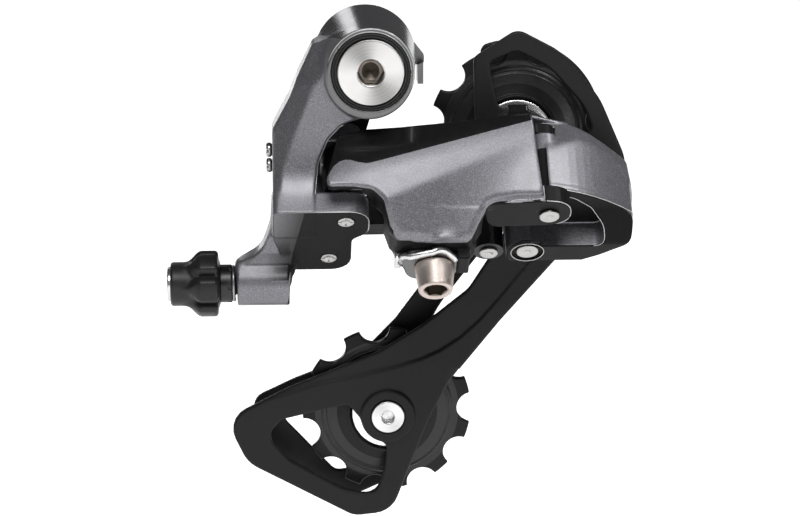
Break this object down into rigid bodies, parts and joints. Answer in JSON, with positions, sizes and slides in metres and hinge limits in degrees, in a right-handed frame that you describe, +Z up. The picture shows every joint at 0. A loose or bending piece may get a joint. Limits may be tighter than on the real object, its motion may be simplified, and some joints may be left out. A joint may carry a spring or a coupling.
{
  "type": "rear bicycle derailleur",
  "caption": "Rear derailleur for a bicycle: hanger pivot, slanted parallelogram with cable clamp, adjuster and a sprung two-pulley chain cage.",
  "frame": {"origin": "on the hanger bolt's axis at the hanger contact face", "axes": "+X to the bike's front, +Y inboard along the hanger bolt, +Z up"},
  "size_m": [0.117, 0.0554, 0.136],
  "materials": {
    "graphite_paint": "satin metallic grey paint over a casting",
    "black_plastic": "satin",
    "black_rubber": "matte",
    "turned_steel": "turned",
    "dark_steel": "black oxide",
    "bright_zinc": "zinc plated",
    "warm_nickel": "nickel plated",
    "bronze": "sintered"
  },
  "bodies": {
    "mount": {"hanger_bolt": "turned_steel", "stop_plate": "dark_steel", "axle_clip": "dark_steel"},
    "b_knuckle": {"b_knuckle_body": "graphite_paint", "b_bushings": "bronze", "b_spring": "dark_steel", "front_seal": "black_rubber", "outer_link_rear_pin": "turned_steel", "inner_link_rear_pin": "turned_steel", "adjuster_spring": "dark_steel"},
    "cable_adjuster": {"adjuster_stem": "dark_steel", "adjuster_knob": "black_plastic", "adjuster_ferrule": "bright_zinc"},
    "tension_screw": {"b_tension_screw": "dark_steel"},
    "high_screw": {"high_limit_screw": "turned_steel"},
    "low_screw": {"low_limit_screw": "turned_steel"},
    "outer_link": {"outer_link_body": "graphite_paint", "cable_bolt": "warm_nickel", "cable_clamp_plate": "bright_zinc", "return_spring": "dark_steel", "outer_link_front_pin": "turned_steel"},
    "inner_link": {"inner_link_body": "dark_steel", "spring_hook_pin": "turned_steel"},
    "p_knuckle": {"p_knuckle_body": "graphite_paint", "inner_link_front_pin": "turned_steel", "p_bushing": "bronze", "p_spring": "dark_steel", "p_cover": "black_plastic"},
    "cage": {"p_axle": "turned_steel", "cage_outer_plate": "black_plastic", "cage_inner_plate": "black_plastic", "cage_stop_pin": "turned_steel", "guide_bolt": "turned_steel", "tension_bolt": "turned_steel", "guide_sleeve": "turned_steel", "tension_sleeve": "turned_steel", "guide_dust_caps": "bright_zinc", "tension_dust_caps": "bright_zinc"},
    "guide_wheel": {"guide_pulley": "black_plastic"},
    "tension_wheel": {"tension_pulley": "black_plastic"}
  },
  "joints": [
    {"name": "hanger_pivot", "type": "hinge", "parent": "mount", "child": "b_knuckle", "pos_m": [0, -0.0125, 0], "axis": [0, 1, 0], "range_deg": [0, 35], "stiffness_Nm_per_rad": 1.2, "springref_deg": -28.65},
    {"name": "shift_swing", "type": "hinge", "parent": "b_knuckle", "child": "outer_link", "pos_m": [-0.0062, -0.01895, -0.02913], "axis": [0, 0.7071, 0.7071], "range_deg": [0, 60], "stiffness_Nm_per_rad": 0.8, "springref_deg": -34.38},
    {"name": "inner_link_swing", "type": "hinge", "parent": "b_knuckle", "child": "inner_link", "pos_m": [-0.0102, -0.00693, -0.04115], "axis": [0, 0.7071, 0.7071], "range_deg": [0, 60]},
    {"name": "lower_knuckle_swing", "type": "hinge", "parent": "outer_link", "child": "p_knuckle", "pos_m": [0.0434, -0.01937, -0.02871], "axis": [0, 0.7071, 0.7071], "range_deg": [-60, 0]},
    {"name": "cage_pivot", "type": "hinge", "parent": "p_knuckle", "child": "cage", "pos_m": [0.0543, 0, -0.0356], "axis": [0, -1, 0], "range_deg": [0, 100], "stiffness_Nm_per_rad": 0.35, "springref_deg": -68.75},
    {"name": "guide_spin", "type": "hinge", "parent": "cage", "child": "guide_wheel", "pos_m": [0.0385, 0.012, -0.0225], "axis": [0, 1, 0], "continuous": true},
    {"name": "tension_spin", "type": "hinge", "parent": "cage", "child": "tension_wheel", "pos_m": [0.0054, 0.012, -0.0965], "axis": [0, 1, 0], "continuous": true},
    {"name": "adjuster_turn", "type": "hinge", "parent": "b_knuckle", "child": "cable_adjuster", "pos_m": [-0.044, -0.012, -0.0554], "axis": [-1, 0, 0], "continuous": true},
    {"name": "tension_screw_turn", "type": "hinge", "parent": "b_knuckle", "child": "tension_screw", "pos_m": [-0.013, -0.0023, -0.015], "axis": [-1, 0, 0], "continuous": true},
    {"name": "high_screw_turn", "type": "hinge", "parent": "b_knuckle", "child": "high_screw", "pos_m": [-0.02, -0.013, -0.0212], "axis": [-1, 0, 0], "continuous": true},
    {"name": "low_screw_turn", "type": "hinge", "parent": "b_knuckle", "child": "low_screw", "pos_m": [-0.02, -0.013, -0.0251], "axis": [-1, 0, 0], "continuous": true}
  ],
  "couplings": [
    {"joint": "inner_link_swing", "follows": "shift_swing", "ratio": 1},
    {"joint": "lower_knuckle_swing", "follows": "shift_swing", "ratio": -1}
  ]
}
